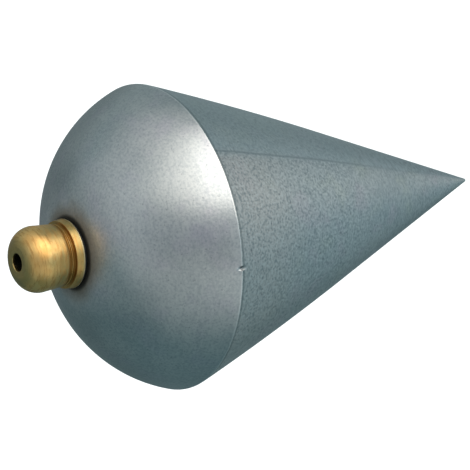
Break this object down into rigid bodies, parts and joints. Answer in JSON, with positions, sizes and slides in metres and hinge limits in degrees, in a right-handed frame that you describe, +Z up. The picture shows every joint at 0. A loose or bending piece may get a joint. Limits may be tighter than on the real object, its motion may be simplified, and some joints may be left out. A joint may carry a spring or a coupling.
{
  "type": "plumb bob",
  "caption": "Conical steel plumb bob with a domed top and a screw-in brass head whose axial hole and hollow stud hold the knotted end of a cord.",
  "frame": {"origin": "middle of the cord hole's mouth, on the flat nose face of the brass head, which is where the cord enters and the bob hangs from", "axes": "+Z up along the bob's axis, out of the nose towards the cord; the point of the bob is straight below on -Z. X and Y are free: the bob is turned about Z"},
  "size_m": [0.05, 0.05, 0.091],
  "materials": {
    "bob_steel": "satin turned, bare steel with a light oil bloom and fine pits",
    "washer_black": "matt black",
    "head_brass": "satin turned, lightly tarnished"
  },
  "bodies": {
    "bob": {"steel_bob": "bob_steel"},
    "washer": {"seat_washer": "washer_black"},
    "head": {"brass_head": "head_brass"}
  },
  "joints": [
    {"name": "head_rise", "type": "slide", "parent": "bob", "child": "washer", "axis": [0, 0, 1], "range_m": [0, 0.00875]},
    {"name": "head_turn", "type": "hinge", "parent": "washer", "child": "head", "pos_m": [0, 0, -0.00922], "axis": [0, 0, 1], "range_deg": [0, 2520]}
  ],
  "couplings": [
    {"joint": "head_rise", "follows": "head_turn", "m_per_rad": 0.00019894}
  ]
}
